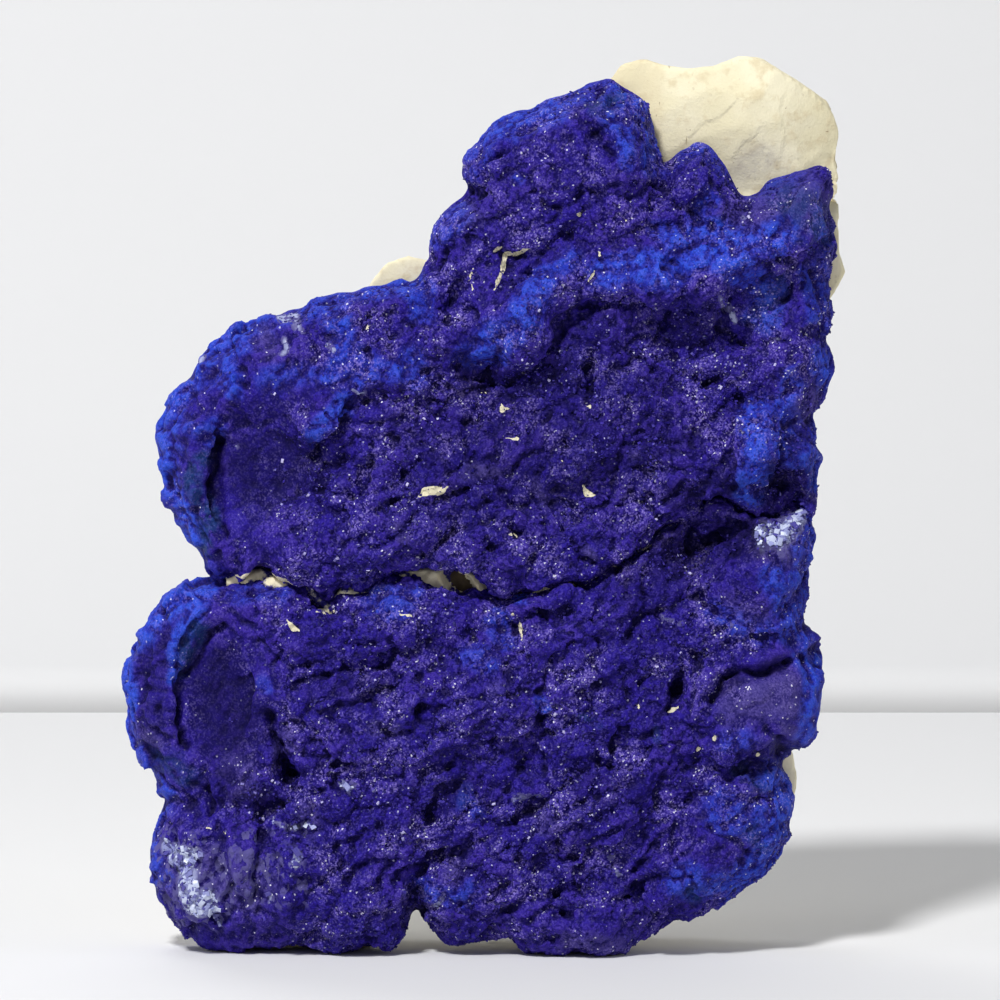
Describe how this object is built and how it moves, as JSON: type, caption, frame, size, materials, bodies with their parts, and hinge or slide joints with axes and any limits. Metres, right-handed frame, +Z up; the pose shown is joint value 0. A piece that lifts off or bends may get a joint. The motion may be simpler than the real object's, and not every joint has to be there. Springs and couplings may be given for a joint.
{
  "type": "azurite mineral specimen",
  "caption": "Upright natural crust of deep blue drusy azurite, grown in two lobed tiers over a block of pale claystone.",
  "frame": {"origin": "under the middle of the outer box, at the level of the resting feet", "axes": "+Z up along the height, front crust towards -Y, +X to the viewer's right"},
  "size_m": [0.0904, 0.032, 0.1127],
  "materials": {
    "azurite_upper_crust": "deep blue to azure drusy mineral crust, glinting crystal faces, silkier lobe rims",
    "azurite_lower_crust": "deep violet-blue drusy mineral crust, glinting crystal faces, silkier lobe rims",
    "claystone": "matte pale cream claystone with broken faces"
  },
  "bodies": {
    "root": {"azurite_upper": "azurite_upper_crust", "azurite_lower": "azurite_lower_crust", "claystone_matrix": "claystone"}
  },
  "joints": []
}
